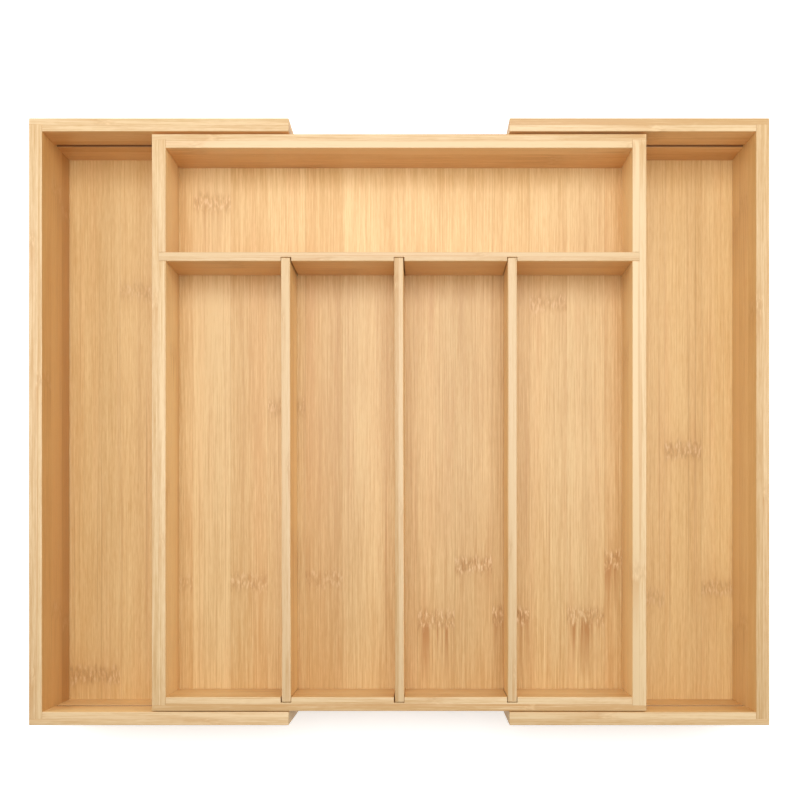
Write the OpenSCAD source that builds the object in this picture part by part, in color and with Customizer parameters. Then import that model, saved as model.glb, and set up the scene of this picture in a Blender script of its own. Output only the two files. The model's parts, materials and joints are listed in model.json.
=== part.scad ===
// Expandable drawer organizer insert: a bamboo tray with cross and long dividers,
// and two U-shaped wings that slide out of it on either side.
// +X runs to the right, +Y to the back of the drawer, +Z up. The origin is the middle
// of the underside. Both wings are drawn part way out.

/* [Wings] */
// Front to back depth over the wing arms
depth = 432; // [360:1:480]
// Height of the wings, and of every rim, above the drawer bottom
height = 64; // [60:1:90]
// Thickness of the end walls and arms
wing_wall = 9.5; // [8:0.5:12]
// Length of a wing along the slide, from end face to arm tips
wing_l = 185; // [180:1:185]
// Open width between an end wall and the tray as drawn
gap = 78; // [60:1:84]
// Thickness of the wing floor panels
wing_floor_t = 5; // [4:0.5:6]
// Thickness of the arm lip that laps over the end of an end wall
wing_lap = 4.5; // [3.5:0.5:5]

/* [Tray] */
// Width of the tray over its side walls
tray_w = 352; // [340:1:370]
// Thickness of the tray's four walls
tray_wall = 10; // [9:0.5:12]
// Gap between the tray and the back arms as drawn
back_play = 1.8; // [0.6:0.1:2]
// Gap between the tray and the front arms as drawn
front_play = 0.6; // [0.6:0.1:2]
// Height of the tray walls' bottom edges above the drawer bottom
tray_lift = 6; // [6:0.5:10]
// Depth of the compartments, rim to floor
inside_h = 42; // [36:1:42]
// Thickness of the tray floor panel
tray_floor_t = 5; // [4:0.5:5]
// How far the tray floor is let into the walls
floor_let = 4; // [3:0.5:4]
// Thickness of the lip on the front and back walls that laps over the side walls
tray_lap = 4; // [3.5:0.5:4]

/* [Dividers] */
// Thickness of the cross divider and of the long dividers
divider_t = 6.5; // [5.5:0.5:8]
// Front to back width of the compartment behind the cross divider
back_room = 74; // [50:1:110]
// Spacing of the long dividers, centre to centre
divider_pitch = 80.5; // [60:0.5:90]
// How far the cross divider is housed in the side walls
cross_let = 5; // [3:0.5:6]
// Depth of the long dividers' slots in the front wall
front_slot = 4; // [3:0.5:5]
// Depth of the long dividers' slots in the cross divider
cross_slot = 3; // [2:0.5:3.5]
// Width that a slot has over its divider, so that the divider lifts out
slot_play = 0.8; // [0.8:0.1:1.2]
// How far a loose divider stands askew in its slots, in degrees
divider_lean = 0.12; // [0:0.02:0.12]

/* [Slide] */
// Height of the middle of the slide groove above the drawer bottom
groove_z = 35; // [34:0.5:40]
// Height of the groove in the arms
groove_h = 4.6; // [4:0.2:6]
// Depth of the groove in the arms
groove_deep = 4.5; // [3.5:0.5:4.5]
// Solid wood left between the end of the groove and the arm tip
groove_stop = 12; // [8:1:12]
// How far a wing can still be drawn out before its runners stop it
draw_left = 6; // [2:1:10]
// How far a runner is let into the tray wall
runner_let = 2; // [1.5:0.5:2.5]
// Clearance of a runner in its groove, on every side
runner_play = 0.3; // [0.2:0.1:0.5]

/* [Brads] */
// Length of a brad
brad_l = 20; // [15:1:22]
// Diameter of a brad's shank
brad_d = 1.2; // [1:0.1:1.6]
// Diameter of a brad's head
brad_head_d = 2.2; // [1.8:0.1:2.8]

/* [Hidden] */
// Half sizes, outside and inside, of the wings
half_w = tray_w / 2 + gap + wing_wall;
half_d = depth / 2;
arm_y = half_d - wing_wall;
wing_room_x = half_w - wing_wall;
tip_x = half_w - wing_l;
// Half sizes, outside and inside, of the tray
tray_x = tray_w / 2;
tray_y = arm_y - (back_play + front_play) / 2;
tray_shift = (front_play - back_play) / 2;
room_x = tray_x - tray_wall;
room_y = tray_y - tray_wall;
floor_z = height - inside_h;
// Faces of the cross divider
cross_y1 = room_y - back_room;
cross_y0 = cross_y1 - divider_t;
// Runners: from just inside the tray's end to where the groove stops them
runner_h = groove_h - 2 * runner_play;
runner_y0 = tray_y - runner_let;
runner_y1 = arm_y + groove_deep - runner_play - abs(tray_shift);
runner_x1 = tray_x - 1;
runner_x0 = tip_x + groove_stop + draw_left + runner_play;
// A brad's head is set a little under the surface
head_l = 1;
head_set = 0.4;
wing_brads_z = [16, 52];
tray_brads_z = [27, 52];
$fn = 24;

bamboo = "burlywood";
dark_bamboo = "tan";
panel_bamboo = "wheat";

// An upright box given by its low and high corners
module box(low, high) {
    translate(low) cube(high - low);
}

// A brad along -Z, with its head just under z = 0
module brad() {
    translate([0, 0, -head_set - head_l]) cylinder(h = head_l, d = brad_head_d);
    translate([0, 0, -brad_l]) cylinder(h = brad_l - head_set - head_l / 2, d = brad_d);
}

// The hole that a driven brad leaves, open at z = 0
module brad_hole() {
    translate([0, 0, -head_set - head_l]) cylinder(h = head_set + head_l + 1, d = brad_head_d);
    translate([0, 0, -brad_l]) cylinder(h = brad_l, d = brad_d);
}

// Brads driven through the laps into the end grain, from the back and the front
module lap_places(x, y, heights) {
    for (z = heights, turn = [-90, 90])
        translate([x, -sign(turn) * y, z]) rotate([turn, 0, 0]) children();
}

// Brads driven up through a wing floor's edges into the arms and the end wall
module floor_places() {
    for (x = [tip_x + 20, (tip_x + wing_room_x) / 2, wing_room_x - 20], y = [-1, 1])
        translate([-x, y * (arm_y + (wing_wall - wing_lap) / 2), 0]) mirror([0, 0, 1]) children();
    for (y = [-half_d / 2, 0, half_d / 2])
        translate([-wing_room_x - (wing_wall - wing_lap) / 2, y, 0]) mirror([0, 0, 1]) children();
}

// ---- left wing; the right wing is its mirror image ----

module left_wing_panel() {
    y = half_d - wing_lap;
    box([-half_w + wing_lap, -y, 0], [-tip_x, y, wing_floor_t]);
}

module left_end_wall() {
    y = half_d - wing_lap;
    color(bamboo) difference() {
        box([-half_w, -y, 0], [-wing_room_x, y, height]);
        left_wing_panel();
        lap_places(-half_w + wing_wall / 2, half_d, wing_brads_z) brad_hole();
        floor_places() brad_hole();
    }
}

// Rabbeted over the end wall, grooved for the runners and rebated for the floor
module left_back_arm() {
    groove_x = -tip_x - groove_stop;
    z0 = groove_z - groove_h / 2;
    color(bamboo) difference() {
        box([-half_w, arm_y, 0], [-tip_x, half_d, height]);
        box([-half_w - 1, arm_y - 1, -1], [-wing_room_x, half_d - wing_lap, height + 1]);
        box([-wing_room_x - 1, arm_y - 1, z0], [groove_x, arm_y + groove_deep, z0 + groove_h]);
        left_wing_panel();
        lap_places(-half_w + wing_wall / 2, half_d, wing_brads_z) brad_hole();
        floor_places() brad_hole();
    }
}

module left_front_arm() {
    mirror([0, 1, 0]) left_back_arm();
}

module left_wing_floor() {
    color(panel_bamboo) difference() {
        left_wing_panel();
        floor_places() brad_hole();
    }
}

module left_wing_brads() {
    color("silver") {
        lap_places(-half_w + wing_wall / 2, half_d, wing_brads_z) brad();
        floor_places() brad();
    }
}

module right_end_wall() {
    mirror([1, 0, 0]) left_end_wall();
}

module right_back_arm() {
    mirror([1, 0, 0]) left_back_arm();
}

module right_front_arm() {
    mirror([1, 0, 0]) left_front_arm();
}

module right_wing_floor() {
    mirror([1, 0, 0]) left_wing_floor();
}

module right_wing_brads() {
    mirror([1, 0, 0]) left_wing_brads();
}

// ---- tray, drawn about its own middle and set in its place between the arms ----

module in_tray() {
    translate([0, tray_shift, 0]) children();
}

module tray_panel() {
    x = room_x + floor_let;
    y = room_y + floor_let;
    box([-x, -y, floor_z - tray_floor_t], [x, y, floor_z]);
}

module tray_lap_places() {
    for (side = [-1, 1])
        lap_places(side * (tray_x - tray_wall / 3), tray_y, tray_brads_z) children();
}

module cross_panel() {
    x = room_x + cross_let;
    box([-x, cross_y0, floor_z], [x, cross_y1, height]);
}

module tray_left_wall() {
    y = tray_y - tray_lap;
    color(bamboo) in_tray() difference() {
        box([-tray_x, -y, tray_lift], [-room_x, y, height]);
        tray_panel();
        cross_panel();
        tray_lap_places() brad_hole();
    }
}

module tray_right_wall() {
    mirror([1, 0, 0]) tray_left_wall();
}

// Rabbeted over both side walls, with the runners let into its outer face
module tray_long_wall() {
    difference() {
        box([-tray_x, room_y, tray_lift], [tray_x, tray_y, height]);
        for (side = [0, 1])
            mirror([side, 0, 0])
                box([room_x, room_y - 1, 0], [tray_x + 1, tray_y - tray_lap, height + 1]);
        tray_panel();
        runner_pair();
        tray_lap_places() brad_hole();
    }
}

module tray_back_wall() {
    color(bamboo) in_tray() tray_long_wall();
}

module tray_front_wall() {
    color(bamboo) in_tray() difference() {
        mirror([0, 1, 0]) tray_long_wall();
        divider_slots(-room_y - front_slot, -room_y + 1);
    }
}

module tray_floor() {
    color(panel_bamboo) in_tray() tray_panel();
}

module cross_divider() {
    color(bamboo) in_tray() difference() {
        cross_panel();
        divider_slots(cross_y0 - 1, cross_y0 + cross_slot);
    }
}

module tray_brads() {
    color("silver") in_tray() tray_lap_places() brad();
}

// ---- slide runners ----

module runner() {
    z0 = groove_z - runner_h / 2;
    box([runner_x0, runner_y0, z0], [runner_x1, runner_y1, z0 + runner_h]);
}

module runner_pair() {
    runner();
    mirror([1, 0, 0]) runner();
}

module back_right_runner() {
    color(dark_bamboo) in_tray() runner();
}

module back_left_runner() {
    color(dark_bamboo) in_tray() mirror([1, 0, 0]) runner();
}

module front_right_runner() {
    color(dark_bamboo) in_tray() mirror([0, 1, 0]) runner();
}

module front_left_runner() {
    color(dark_bamboo) in_tray() mirror([0, 1, 0]) mirror([1, 0, 0]) runner();
}

// ---- long dividers, loose in their slots ----

module divider_slots(y0, y1) {
    half = (divider_t + slot_play) / 2;
    for (i = [-1 : 1])
        box([i * divider_pitch - half, y0, floor_z], [i * divider_pitch + half, y1, height + 1]);
}

module long_divider(place, lean) {
    y0 = -room_y - front_slot + slot_play / 2;
    y1 = cross_y0 + cross_slot - slot_play / 2;
    half = [divider_t, y1 - y0] / 2;
    in_tray() translate([place * divider_pitch, (y0 + y1) / 2, 0]) rotate(lean)
        box([-half.x, -half.y, floor_z], [half.x, half.y, height]);
}

module left_divider() {
    color(dark_bamboo) long_divider(-1, divider_lean);
}

module middle_divider() {
    color(dark_bamboo) long_divider(0, divider_lean);
}

module right_divider() {
    color(dark_bamboo) long_divider(1, 0);
}

tray_left_wall();
tray_right_wall();
tray_back_wall();
tray_front_wall();
tray_floor();
cross_divider();
back_left_runner();
back_right_runner();
front_left_runner();
front_right_runner();
tray_brads();
left_divider();
middle_divider();
right_divider();
left_end_wall();
left_back_arm();
left_front_arm();
left_wing_floor();
left_wing_brads();
right_end_wall();
right_back_arm();
right_front_arm();
right_wing_floor();
right_wing_brads();
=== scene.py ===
import json

import bmesh
import bpy
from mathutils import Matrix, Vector


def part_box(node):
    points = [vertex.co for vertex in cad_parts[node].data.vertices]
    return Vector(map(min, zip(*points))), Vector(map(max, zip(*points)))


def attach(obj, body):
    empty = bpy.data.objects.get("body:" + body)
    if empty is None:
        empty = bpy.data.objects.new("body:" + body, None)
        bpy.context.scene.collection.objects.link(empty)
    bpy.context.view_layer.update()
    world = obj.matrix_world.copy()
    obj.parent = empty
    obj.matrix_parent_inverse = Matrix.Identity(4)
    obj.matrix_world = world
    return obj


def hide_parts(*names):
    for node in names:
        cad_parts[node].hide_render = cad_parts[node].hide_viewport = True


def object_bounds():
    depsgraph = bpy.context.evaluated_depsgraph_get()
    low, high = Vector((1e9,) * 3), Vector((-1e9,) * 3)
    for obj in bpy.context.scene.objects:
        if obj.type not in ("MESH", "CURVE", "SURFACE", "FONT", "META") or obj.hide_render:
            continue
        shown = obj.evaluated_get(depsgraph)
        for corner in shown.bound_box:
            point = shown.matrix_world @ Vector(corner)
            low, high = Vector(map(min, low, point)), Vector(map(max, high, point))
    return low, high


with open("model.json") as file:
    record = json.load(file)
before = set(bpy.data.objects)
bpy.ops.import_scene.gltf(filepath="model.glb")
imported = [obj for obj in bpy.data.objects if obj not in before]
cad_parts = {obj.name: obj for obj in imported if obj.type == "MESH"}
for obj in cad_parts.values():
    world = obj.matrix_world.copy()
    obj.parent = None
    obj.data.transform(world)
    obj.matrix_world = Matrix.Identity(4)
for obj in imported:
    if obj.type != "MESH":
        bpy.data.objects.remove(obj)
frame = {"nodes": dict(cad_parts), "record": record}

cad_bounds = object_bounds()


# ---- Studio -------------------------------------------------------------------------------
# A white paper table top, lit softly from all round, with one soft box hung over the back of
# the tray and one at each side. The camera hangs over the table and looks straight down.

scene = bpy.context.scene
scene.view_settings.view_transform = "Standard"
scene.cycles.use_denoising = True

table_half = 4.0
table_drop = 0.0003  # the object stands this far above the table, clear of its surface
corner_signs = ((-1, -1), (1, -1), (1, 1), (-1, 1))
table_corners = [(x * table_half, y * table_half, -table_drop) for x, y in corner_signs]
table_mesh = bpy.data.meshes.new("table_top")
table_mesh.from_pydata(table_corners, [], [(0, 1, 2, 3)])
table = bpy.data.objects.new("table_top", table_mesh)
scene.collection.objects.link(table)

paper = bpy.data.materials.new("white_paper")
paper.use_nodes = True
shader = paper.node_tree.nodes["Principled BSDF"]
shader.inputs["Base Color"].default_value = (0.93, 0.93, 0.93, 1)
shader.inputs["Roughness"].default_value = 0.9
shader.inputs["Emission Color"].default_value = (1, 1, 1, 1)
shader.inputs["Emission Strength"].default_value = 0.44
table_mesh.materials.append(paper)

surround = bpy.data.worlds.new("white_surround")
surround.use_nodes = True
surround_tree = surround.node_tree
background = surround_tree.nodes["Background"]
background.inputs["Color"].default_value = (1, 1, 1, 1)
seen = surround_tree.nodes.new("ShaderNodeLightPath")
strength = surround_tree.nodes.new("ShaderNodeMapRange")
strength.inputs["To Min"].default_value = 0.42  # what lights the tray
strength.inputs["To Max"].default_value = 0.83  # what shows beyond the table
surround_tree.links.new(seen.outputs["Is Camera Ray"], strength.inputs["Value"])
surround_tree.links.new(strength.outputs["Result"], background.inputs["Strength"])
scene.world = surround


def soft_lamp(name, place, aim, size, power):
    """A square soft box at a place, turned to shine at a point."""
    data = bpy.data.lights.new(name, "AREA")
    data.size = size
    data.energy = power
    lamp = bpy.data.objects.new(name, data)
    lamp.location = place
    lamp.rotation_euler = (Vector(aim) - Vector(place)).to_track_quat("-Z", "Y").to_euler()
    lamp.visible_camera = False
    scene.collection.objects.link(lamp)


soft_lamp("top_softbox", (0, 0.25, 0.95), (0, 0.25, 0), 0.7, 5.75)
for name, side in (("left", -1), ("right", 1)):
    soft_lamp(f"{name}_softbox", (side, 0.25, 0.75), (0, 0, 0), 0.8, 5.9)

rim_height = cad_bounds[1][2]
camera_above_rim = 0.7595
camera_data = bpy.data.cameras.new("overhead_camera")
camera_data.lens = 48.05
camera_data.sensor_width = 36.0
camera_data.shift_x = -0.030
camera_data.shift_y = 0.1687
camera_data.clip_start = 0.01
camera = bpy.data.objects.new("overhead_camera", camera_data)
camera.location = (0.0177, -0.0806, rim_height + camera_above_rim)
scene.collection.objects.link(camera)
scene.camera = camera


# ---- Tray walls ---------------------------------------------------------------------------
# Four laminated bamboo boards round the tray, each of two plies glued face to face. The front
# and back boards are rabbeted over the side boards' ends, glued and bradded, and the outer
# edges are sanded round after assembly.


class Wire:
    """A socket in a node tree. Arithmetic on it adds Math nodes, and node() adds any other."""

    def __init__(self, tree, socket=None):
        self.tree = tree
        self.socket = socket

    def node(self, kind, settings=None, inputs=None, out=0):
        """Adds a node: its settings first, then its inputs' values or links."""
        added = self.tree.nodes.new(kind)
        added.location.x = 40 * len(self.tree.nodes)
        for name, value in (settings or {}).items():
            if name == "stops":
                self.set_stops(added.color_ramp, value)
            else:
                setattr(added, name, value)
        for key, value in (inputs or {}).items():
            if isinstance(value, Wire):
                self.tree.links.new(value.socket, added.inputs[key])
            else:
                added.inputs[key].default_value = value
        return Wire(self.tree, added.outputs[out] if added.outputs else None)

    @staticmethod
    def set_stops(ramp, stops):
        """Gives a colour ramp its stops, each a place and a colour."""
        while len(ramp.elements) < len(stops):
            ramp.elements.new(1.0)
        for element, (place, colour) in zip(ramp.elements, stops):
            element.position = place
            element.color = (*colour, 1)

    def output(self, name):
        """Another output of the same node."""
        return Wire(self.tree, self.socket.node.outputs[name])

    def math(self, operation, *values):
        return self.node("ShaderNodeMath", {"operation": operation}, dict(enumerate(values)))

    def floor(self):
        return self.math("FLOOR", self)

    def fract(self):
        return self.math("FRACT", self)

    def clamp(self):
        return self.node("ShaderNodeClamp", {}, {"Value": self})

    def mix(self, other, factor, blend="MIX"):
        """This colour, with another laid over it by a factor."""
        inputs = {"Factor": factor, 6: self, 7: other}
        return self.node("ShaderNodeMix", {"data_type": "RGBA", "blend_type": blend}, inputs, out=2)

    def __add__(self, other):
        return self.math("ADD", self, other)

    def __radd__(self, other):
        return self.math("ADD", other, self)

    def __sub__(self, other):
        return self.math("SUBTRACT", self, other)

    def __rsub__(self, other):
        return self.math("SUBTRACT", other, self)

    def __mul__(self, other):
        return self.math("MULTIPLY", self, other)

    def __rmul__(self, other):
        return self.math("MULTIPLY", other, self)

    def __truediv__(self, other):
        return self.math("DIVIDE", self, other)

    def __abs__(self):
        return self.math("ABSOLUTE", self)


X, Y, Z = 0, 1, 2
mm = 0.001
DARK_FIBRE = (0.86, 0.76, 0.62)  # how the darkest and the palest fibres tint their wood
PALE_FIBRE = (1.12, 1.19, 1.32)
EDGE_BAMBOO = (0.63, 0.43, 0.215)  # the sanded edges of a board
FACE_BAMBOO = (0.775, 0.505, 0.207)  # its lacquered faces
BACK_FACE_PAINTED_BOUNCE = (0.84, 0.505, 0.205)  # the faces of the boards at the back, redder: painted reddish bounce light for their shaded faces, which look away from the top soft box
KNUCKLE_PALE = (0.86, 0.63, 0.35)  # the crackle of a knuckle, and the streaks that leave it
KNUCKLE_AMBER = (0.50, 0.245, 0.07)
KNUCKLE_BROWN = (0.28, 0.125, 0.035)
END_GRAIN = (0.25, 0.175, 0.085)
BLUSH = (1.0, 0.945, 0.935)  # tint of the pinker streaks
CUT_BROWN_AND_SHADE = (0.60, 0.46, 0.37)  # tint that a cutter leaves in a groove, deepened with painted shade of the recess
knuckle_half = 8.5 * mm  # half the height of the band where a culm had a knuckle
knuckle_halo = 24 * mm  # how far from a knuckle its wood is a little darker
knuckle_streaks = 50 * mm  # how far brown streaks run from it
knuckle_gap = 310 * mm  # usual distance between two knuckles of one culm
glue_half = 0.3 * mm  # half the width of a glue line, with the shade beside it


def bamboo(
    name, grain, strip, low, seed, face, edge=None, ply=None,
    shade=0.0, ply_step=0.0, cuts=(), fibre_depth=2.0,
):
    """Clear lacquered bamboo: strips of one culm each, glued edge to edge and in plies.

    grain names the axes along the fibres, across the strips and through the board. low is the
    corner that strips and plies are counted from. A board has an edge colour, and mostly plies,
    and each strip's tone comes from its seed. A panel has no edge colour, and carries its
    strips' tones and knuckles as attributes. shade lightens the whole, and ply_step lightens
    each ply over the one before. cuts are the boxes of its grooves and slots, whose sides are
    raw and browned by the cutter, and darkened further with painted shade of the recess.
    fibre_depth is how strongly the fibres stand out.
    """
    material = bpy.data.materials.new(name)
    material.use_nodes = True
    tree = material.node_tree
    start = Wire(tree)
    place = start.node("ShaderNodeTexCoord", out="Object")
    parts = start.node("ShaderNodeSeparateXYZ", {}, {0: place})
    axes = [parts, parts.output("Y"), parts.output("Z")]
    along, across, through = (axes[axis] - low[axis] for axis in grain)

    def noise(scale_along, scale_across, detail, shift):
        """Fibre-like noise, much longer along the grain than across it."""
        vector = start.node("ShaderNodeCombineXYZ", {}, {
            0: along * scale_along + (shift + seed),
            1: across * scale_across + own_offset,
            2: through * scale_across + shift,
        })
        return start.node("ShaderNodeTexNoise", {}, {"Vector": vector, "Scale": 1.0, "Detail": detail})

    row = (across / strip).floor()
    layer = (through / ply).floor() if ply else through * 0.0
    key = start.node("ShaderNodeCombineXYZ", {}, {0: row + seed, 1: layer + 3.7 * seed, 2: seed})
    luck = start.node("ShaderNodeTexWhiteNoise", {"noise_dimensions": "3D"}, {"Vector": key})
    own_offset = luck * 37.0

    if not edge:
        def carried(attribute):
            return start.node("ShaderNodeAttribute", {"attribute_name": attribute}, out="Fac")

        tone = carried("tone")
        knuckle_distance = along - (carried("knuckle") - low[grain[0]])
        mark = carried("mark")
        streak_mark = carried("streak")
    else:
        tone = luck
        turned = along / knuckle_gap + luck * 5.3
        knuckle_distance = (turned.fract() - 0.5) * knuckle_gap
        mark = 0.4
        streak_mark = 0.35

    # Clear wood: fine fibres and pores, broader streaks, clouds, pink streaks and amber veins.
    fibre = noise(22.0, 1100.0, 2.0, 1.0)
    pores = noise(150.0, 1500.0, 1.0, 17.0)
    streak = noise(4.0, 300.0, 2.0, 7.0)
    cloud = noise(9.0, 50.0, 2.0, 13.0)
    blush = noise(4.0, 120.0, 1.0, 23.0)
    vein = noise(2.5, 620.0, 1.0, 61.0)
    value = tone + (fibre - 0.5) * fibre_depth + (pores - 0.5) * 0.8
    value = value + (streak - 0.5) * 0.3 + (cloud - 0.5) * 0.5
    if ply:
        value = value + (layer - 0.5) * ply_step
    value = (value + shade).clamp()

    def tinted(wood):
        """The wood's colour, from its darkest fibres to its palest."""
        ends = [tuple(w * t for w, t in zip(wood, tint)) for tint in (DARK_FIBRE, PALE_FIBRE)]
        return start.node("ShaderNodeValToRGB", {"stops": list(zip((0.0, 1.0), ends))}, {"Fac": value})

    colour = tinted(face)
    facing = start.node("ShaderNodeTexCoord", out="Normal")
    facing = start.node("ShaderNodeSeparateXYZ", {}, {0: facing})
    facing = [facing, facing.output("Y"), facing.output("Z")]
    if edge:
        on_edge = ((abs(facing[grain[1]]) - 0.5) * 5.0).clamp()
        colour = colour.mix(tinted(edge), on_edge)
    pinker = colour.mix((*BLUSH, 1), 1.0, "MULTIPLY")
    colour = colour.mix(pinker, ((blush - 0.5) * 4.0).clamp() * 0.7)
    colour = colour.mix((*KNUCKLE_AMBER, 1), ((vein - 0.64) * 12.0).clamp() * 0.4)

    # A knuckle: a ragged crackled band in a darker halo, with brown streaks towards the front.
    ragged = noise(40.0, 330.0, 2.0, 31.0)
    height = knuckle_distance + (ragged - 0.5) * (14 * mm)
    band = ((1.0 - abs(height) / knuckle_half) * 1.6).clamp()
    halo = (1.0 - abs(height) / knuckle_halo).clamp() * mark
    crackle = noise(200.0, 900.0, 2.0, 41.0)
    flecks = band * ((crackle - 0.52) * 8.0).clamp() * mark
    pales = band * ((0.48 - crackle) * 8.0).clamp() * mark
    fade = (1.0 + height / knuckle_streaks).clamp()
    below = ((0.0 - height - 3 * mm) / (4 * mm)).clamp() * fade
    comb = noise(7.0, 330.0, 2.0, 51.0)
    streaks = below * ((comb - 0.45) * 8.0).clamp() * streak_mark * 1.3
    colour = colour.mix((*KNUCKLE_AMBER, 1), (streaks + band * mark * 0.36 + halo * 0.2).clamp())
    colour = colour.mix((*KNUCKLE_BROWN, 1), flecks * 0.32)
    colour = colour.mix((*KNUCKLE_PALE, 1), pales * 0.8)

    def seam(distance, pitch):
        """1 on the glue line between two strips or plies, 0 a hair away from it."""
        part = (distance / pitch).fract()
        nearest = part.math("MINIMUM", part, 1.0 - part) * pitch
        return (1.0 - nearest / glue_half).clamp()

    glue = seam(across, strip)
    if ply:
        glue = glue.math("MAXIMUM", glue, seam(through, ply))
    colour = colour.mix((*KNUCKLE_BROWN, 1), glue * 0.16)

    # End grain, wherever the surface faces along the fibres.
    cut = ((abs(facing[grain[0]]) - 0.7) * 6.0).clamp()
    speckle = start.node("ShaderNodeTexNoise", {}, {"Vector": place, "Scale": 1900.0, "Detail": 1.0})
    end_colour = colour.mix((*END_GRAIN, 1), (0.55 + (speckle - 0.5) * 1.6).clamp())
    colour = colour.mix(end_colour, cut)

    # A cut's sides: raw wood browned by the cutter, with painted shade of the recess laid over it.
    for cut_low, cut_high in cuts:
        outside = -1.0
        for axis in (X, Y, Z):
            middle = (cut_low[axis] + cut_high[axis]) / 2
            beyond = abs(axes[axis] - middle) - (cut_high[axis] - cut_low[axis]) / 2
            outside = beyond.math("MAXIMUM", beyond, outside)
        browned_and_shaded = colour.mix((*CUT_BROWN_AND_SHADE, 1), 1.0, "MULTIPLY")
        colour = colour.mix(browned_and_shaded, (0.5 - outside / (0.1 * mm)).clamp())

    relief = fibre * 0.5 + streak * 0.25 - glue * 0.5 - flecks * 0.8
    bump = start.node("ShaderNodeBump", {}, {"Strength": 0.35, "Distance": 0.25 * mm, "Height": relief})
    roughness = 0.42 + (fibre - 0.5) * 0.25 + flecks * 0.2 + cut * 0.2
    shader = tree.nodes["Principled BSDF"]
    for socket, wire in (("Base Color", colour), ("Roughness", roughness), ("Normal", bump)):
        tree.links.new(wire.socket, shader.inputs[socket])
    shader.inputs["Coat Weight"].default_value = 0.12
    shader.inputs["Coat Roughness"].default_value = 0.3
    return material


round_edge = 0.55 * mm  # radius of an edge that a hand meets
joint_edge = 0.12 * mm  # radius of an edge at a glued joint or slot
joint_slack = 0.6 * mm  # how near another board an edge counts as part of a joint
hole_facet = 1.5 * mm  # edges shorter than this are the rims of brad holes, and stay crisp
corner_angle = 1.2  # radians between faces, from which an edge is a corner of the board
slot_margin = 0.3 * mm  # how far a slot's browned sides, with their painted shade, lie outside its divider
dividers = ("left_divider", "middle_divider", "right_divider")


def grown(node, by):
    """A node's box, a little larger all round."""
    low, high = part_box(node)
    return [corner - by for corner in low], [corner + by for corner in high]


def board(name, body, node, material):
    """A board with its joints as cut, its free edges sanded round and its joints left crisp."""
    mates = [n for n in frame["record"]["behaviour"]["bodies"][body] if not n.endswith("brads")]
    mates = [grown(n, joint_slack) for n in (*mates, *dividers) if n != node]

    def at_joint(point):
        return any(all(low[i] < point[i] < high[i] for i in (X, Y, Z)) for low, high in mates)

    shape = bmesh.new()
    shape.from_mesh(frame["nodes"][node].data)
    bmesh.ops.remove_doubles(shape, verts=shape.verts, dist=1e-6)
    bmesh.ops.dissolve_limit(shape, angle_limit=0.01, verts=shape.verts, edges=shape.edges)
    weights = shape.edges.layers.float.new("bevel_weight_edge")
    for edge in shape.edges:
        corner = edge.is_manifold and edge.calc_face_angle() > corner_angle
        hole = corner and edge.calc_length() < hole_facet
        edge.smooth = not hole
        if corner and not hole:
            middle = (edge.verts[0].co + edge.verts[1].co) / 2
            edge[weights] = joint_edge / round_edge if at_joint(middle) else 1.0
    mesh = bpy.data.meshes.new(name)
    shape.to_mesh(mesh)
    shape.free()
    for face in mesh.polygons:
        face.use_smooth = True
    mesh.materials.clear()
    mesh.materials.append(material)
    piece = bpy.data.objects.new(name, mesh)
    scene.collection.objects.link(piece)
    bevel = piece.modifiers.new("sanded_edges", "BEVEL")
    bevel.limit_method = "WEIGHT"
    bevel.width = round_edge
    bevel.segments = 3
    bevel.use_clamp_overlap = False
    bevel.harden_normals = True
    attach(piece, body)
    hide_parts(node)


side_grain = (Y, Z, X)
long_grain = (X, Z, Y)
wall_strip = 22.5 * mm
wall_ply = 5 * mm
for seed, side, shade in ((2.0, "left", 0.03), (3.0, "right", 0.32)):
    node = f"tray_{side}_wall"
    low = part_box(node)[0]
    wood = bamboo(
        f"bamboo_{node}", side_grain, wall_strip, low, seed, FACE_BAMBOO, EDGE_BAMBOO,
        ply=wall_ply, shade=shade,
    )
    board(f"{side}_side_board", "tray", node, wood)

slots = [grown(node, slot_margin) for node in dividers]
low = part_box("tray_back_wall")[0]
wood = bamboo(
    "bamboo_tray_back_wall", long_grain, wall_strip, low, 5.0, BACK_FACE_PAINTED_BOUNCE, EDGE_BAMBOO,
    ply=wall_ply, shade=0.5,
)
board("back_board", "tray", "tray_back_wall", wood)
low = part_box("tray_front_wall")[0]
wood = bamboo(
    "bamboo_tray_front_wall", long_grain, wall_strip, low, 6.0, FACE_BAMBOO, EDGE_BAMBOO,
    ply=wall_ply, shade=-0.1, ply_step=0.14, cuts=slots,
)
board("front_board", "tray", "tray_front_wall", wood)


# ---- Tray floor ---------------------------------------------------------------------------
# A thin panel of bamboo strips laid flat and glued edge to edge, sanded and lacquered, held
# in grooves in the tray walls. Each strip has its own tone, and a knuckle here and there.


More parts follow.
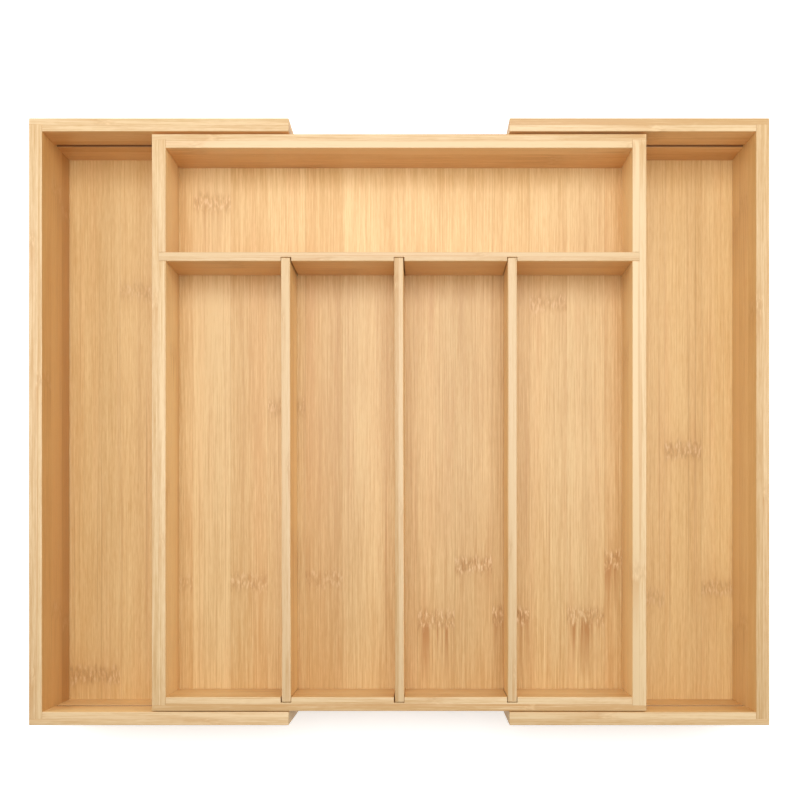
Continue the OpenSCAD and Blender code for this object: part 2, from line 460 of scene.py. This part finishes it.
def strip_panel(name, body, node, joint, width, strips, material):
    """A panel of strips side by side, with a glue line at x = joint and one every width.

    strips gives, from the left, each strip's tone, its knuckle's y in mm, how marked the
    knuckle is and how strongly brown streaks run from it to the front.
    """
    tree = bpy.data.node_groups.new(f"{name}_strips", "GeometryNodeTree")
    values = {"Low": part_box(node)[0], "High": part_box(node)[1], "Joint": joint, "Strip width": width}
    kinds = {"Low": "NodeSocketVector", "High": "NodeSocketVector"}
    sockets = {}
    for label in values:
        kind = kinds.get(label, "NodeSocketFloat")
        sockets[label] = tree.interface.new_socket(label, in_out="INPUT", socket_type=kind)
    tree.interface.new_socket("Geometry", in_out="OUTPUT", socket_type="NodeSocketGeometry")
    start = Wire(tree)
    given = start.node("NodeGroupInput", out="Low")
    low = start.node("ShaderNodeSeparateXYZ", {}, {0: given})
    high = start.node("ShaderNodeSeparateXYZ", {}, {0: given.output("High")})
    joint_x = given.output("Joint")
    pitch = given.output("Strip width")
    first = start.math("FLOOR", (low - joint_x) / pitch)
    count = start.math("CEIL", (high - joint_x) / pitch) - first
    line = start.node("GeometryNodeMeshLine", {}, {"Count": count})
    index = start.node("GeometryNodeInputIndex")
    left = start.math("MAXIMUM", low, joint_x + (first + index) * pitch)
    right = start.math("MINIMUM", high, joint_x + (first + index + 1.0) * pitch)
    depth = high.output("Y") - low.output("Y")
    thick = high.output("Z") - low.output("Z")
    middle = start.node("ShaderNodeCombineXYZ", {}, {
        0: (left + right) / 2.0,
        1: low.output("Y") + depth / 2.0,
        2: low.output("Z") + thick / 2.0,
    })
    size = start.node("ShaderNodeCombineXYZ", {}, {0: right - left, 1: depth, 2: thick})
    line = start.node("GeometryNodeSetPosition", {}, {"Geometry": line, "Position": middle})
    block = start.node("GeometryNodeMeshCube", {}, {"Size": (1.0, 1.0, 1.0)})
    laid = start.node(
        "GeometryNodeInstanceOnPoints", {}, {"Points": line, "Instance": block, "Scale": size}
    )
    laid = start.node(
        "GeometryNodeStoreNamedAttribute",
        {"data_type": "FLOAT", "domain": "INSTANCE"},
        {"Geometry": laid, "Name": "strip", "Value": index},
    )
    laid = start.node("GeometryNodeRealizeInstances", {}, {"Geometry": laid})
    laid = start.node("GeometryNodeSetMaterial", {}, {"Geometry": laid, "Material": material})
    start.node("NodeGroupOutput", {}, {"Geometry": laid})

    maker = bpy.data.objects.new(f"{name}_maker", bpy.data.meshes.new(f"{name}_maker"))
    scene.collection.objects.link(maker)
    modifier = maker.modifiers.new("strips", "NODES")
    modifier.node_group = tree
    for label, value in values.items():
        modifier[sockets[label].identifier] = value
    made = maker.evaluated_get(bpy.context.evaluated_depsgraph_get())
    mesh = bpy.data.meshes.new_from_object(made)
    bpy.data.objects.remove(maker)
    mesh.name = name

    index_of = [round(item.value) for item in mesh.attributes["strip"].data]
    for column, attribute in enumerate(("tone", "knuckle", "mark", "streak")):
        scale = mm if attribute == "knuckle" else 1.0
        layer = mesh.attributes.new(attribute, "FLOAT", "POINT")
        layer.data.foreach_set("value", [strips[i][column] * scale for i in index_of])
    piece = bpy.data.objects.new(name, mesh)
    scene.collection.objects.link(piece)
    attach(piece, body)
    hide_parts(node)


flat_grain = (Y, X, Z)
FLOOR_BAMBOO = (0.70, 0.468, 0.202)
floor_strip = 28.05 * mm
floor_joint = -155.5 * mm
tray_strips = [
    (0.40, -117, 0.5, 0.0),
    (0.78, 169, 0.7, 0.3),
    (0.27, -116, 0.6, 0.0),
    (0.50, 16, 0.6, 0.1),
    (0.22, -114, 0.5, 0.0),
    (0.62, 230, 0.0, 0.0),
    (0.50, 230, 0.0, 0.0),
    (0.46, -144, 0.8, 0.9),
    (0.42, -103, 0.9, 0.1),
    (0.36, -141, 1.0, 0.5),
    (0.48, 93, 0.6, 0.0),
    (0.66, -141, 0.8, 0.9),
    (0.38, -99, 0.9, 0.8),
]
origin = (floor_joint, *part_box("tray_floor")[0][1:])
wood = bamboo("bamboo_tray_floor", flat_grain, floor_strip, origin, 11.0, FLOOR_BAMBOO)
strip_panel("tray_floor_panel", "tray", "tray_floor", floor_joint, floor_strip, tray_strips, wood)


# ---- Cross divider ------------------------------------------------------------------------
# A thinner two-ply board, housed in both side walls and glued. Three slots in its front face
# take the back ends of the long dividers.

thin_ply = 3.25 * mm
thin_strip = 21 * mm
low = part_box("cross_divider")[0]
wood = bamboo(
    "bamboo_cross_divider", long_grain, thin_strip, low, 21.0, BACK_FACE_PAINTED_BOUNCE, EDGE_BAMBOO,
    ply=thin_ply, shade=0.35, cuts=slots,
)
board("cross_board", "tray", "cross_divider", wood)


# ---- Long dividers ------------------------------------------------------------------------
# Three thin boards that stand loose in their slots and lift out upwards, for wider
# compartments. They are a little narrower than their slots and stand slightly askew.

for seed, node, shade in zip((31.0, 32.0, 33.0), dividers, (0.1, 0.15, 0.28)):
    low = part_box(node)[0]
    wood = bamboo(
        f"bamboo_{node}", side_grain, thin_strip, low, seed, FACE_BAMBOO, EDGE_BAMBOO,
        ply=thin_ply, shade=shade,
    )
    board(f"{node}_board", node, node, wood)


# ---- Runners ------------------------------------------------------------------------------
# Four hardwearing bamboo strips, glued into grooves in the tray's back and front walls. They
# run in the wing arms' grooves and stop a wing where its groove ends.

runner_strip = 10 * mm
wood = bamboo(
    "bamboo_runners", long_grain, runner_strip, (0, 0, 0), 41.0, FACE_BAMBOO, EDGE_BAMBOO, shade=-0.2
)
for end in ("back", "front"):
    for side in ("left", "right"):
        board(f"{end}_{side}_tongue", "tray", f"{end}_{side}_runner", wood)


# ---- Wing end walls and arms --------------------------------------------------------------
# Each wing is a U of three two-ply boards: an end wall and two arms, rabbeted over its ends.
# The arms' inner faces are grooved for the runners, stopped short of their tips.

end_ply = 4.75 * mm
arm_ply = 4.5 * mm
groove_margin = 0.4 * mm  # how far a groove's browned sides, with their painted shade, lie outside its runner
groove_mouth = 0.05 * mm  # how far inside the arm's face the browning and painted shade start
end_woods = {  # seed, face colour and shade
    "left": (51.0, (0.655, 0.365, 0.118), -0.05),
    "right": (52.0, (0.785, 0.515, 0.21), 0.1),
}
arm_woods = {  # seed, face colour, shade and step between plies
    ("left", "back"): (61.0, BACK_FACE_PAINTED_BOUNCE, -0.05, 0.3),
    ("left", "front"): (62.0, FACE_BAMBOO, 0.1, 0.3),
    ("right", "back"): (63.0, BACK_FACE_PAINTED_BOUNCE, 0.05, -0.3),
    ("right", "front"): (64.0, FACE_BAMBOO, -0.2, 0.2),
}
for side, (seed, face, shade) in end_woods.items():
    node = f"{side}_end_wall"
    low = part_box(node)[0]
    wood = bamboo(
        f"bamboo_{node}", side_grain, wall_strip, low, seed, face, EDGE_BAMBOO,
        ply=end_ply, shade=shade,
    )
    board(f"{side}_end_board", f"{side}_wing", node, wood)
    for end in ("back", "front"):
        node = f"{side}_{end}_arm"
        low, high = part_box(node)
        groove = grown(f"{end}_{side}_runner", groove_margin)
        groove[0][X], groove[1][X] = low[X], high[X]
        if end == "back":
            groove[0][Y] = low[Y] + groove_mouth
        else:
            groove[1][Y] = high[Y] - groove_mouth
        seed, face, shade, step = arm_woods[side, end]
        wood = bamboo(
            f"bamboo_{node}", long_grain, wall_strip, low, seed, face, EDGE_BAMBOO,
            ply=arm_ply, shade=shade, ply_step=step, cuts=[groove],
        )
        board(f"{side}_{end}_arm_board", f"{side}_wing", node, wood)


# ---- Wing floors --------------------------------------------------------------------------
# Panels of the same strips as the tray's, let into rebates in the wings' bottom edges, glued
# and bradded from below. They pass under the tray as a wing slides in.

WING_FLOOR_BAMBOO = (0.78, 0.533, 0.228)
wing_panels = {  # seed, strip width, one glue line's x, and the strips from the left
    "left": (71.0, 38.0 * mm, -215.4 * mm, [
        (0.50, 300, 0.0, 0.0),
        (0.45, -188, 0.8, 0.1),
        (0.40, 106, 0.5, 0.0),
        (0.60, 20, 0.4, 0.0),
        (0.45, -90, 0.6, 0.3),
        (0.55, 150, 0.5, 0.0),
    ]),
    "right": (72.0, 28.3 * mm, 202.0 * mm, [
        (0.50, 40, 0.5, 0.1),
        (0.60, -150, 0.5, 0.2),
        (0.45, 120, 0.6, 0.0),
        (0.55, -60, 0.4, 0.0),
        (0.50, -128, 0.5, 0.0),
        (0.45, -15, 0.8, 0.0),
        (0.60, -121, 0.7, 0.1),
        (0.60, 182, 0.7, 0.0),
    ]),
}
for side, (seed, width, joint, strips) in wing_panels.items():
    node = f"{side}_wing_floor"
    origin = (joint, *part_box(node)[0][1:])
    wood = bamboo(
        f"bamboo_{node}", flat_grain, width, origin, seed, WING_FLOOR_BAMBOO, fibre_depth=1.2
    )
    strip_panel(f"{side}_wing_panel", f"{side}_wing", node, joint, width, strips, wood)


# ---- Brads --------------------------------------------------------------------------------
# Thin headed steel brads through the corner laps and up through the wing floors' edges, with
# their heads punched just under the surface.

brad_steel = bpy.data.materials.new("drawn_steel")
brad_steel.use_nodes = True
start = Wire(brad_steel.node_tree)
place = start.node("ShaderNodeTexCoord", out="Object")
scuffs = start.node("ShaderNodeTexNoise", {}, {"Vector": place, "Scale": 2600.0, "Detail": 2.0})
shader = brad_steel.node_tree.nodes["Principled BSDF"]
shader.inputs["Base Color"].default_value = (0.55, 0.54, 0.52, 1)
shader.inputs["Metallic"].default_value = 1.0
brad_steel.node_tree.links.new((0.3 + scuffs * 0.3).socket, shader.inputs["Roughness"])
for node in ("tray_brads", "left_wing_brads", "right_wing_brads"):
    frame["nodes"][node].data.materials.clear()
    frame["nodes"][node].data.materials.append(brad_steel)
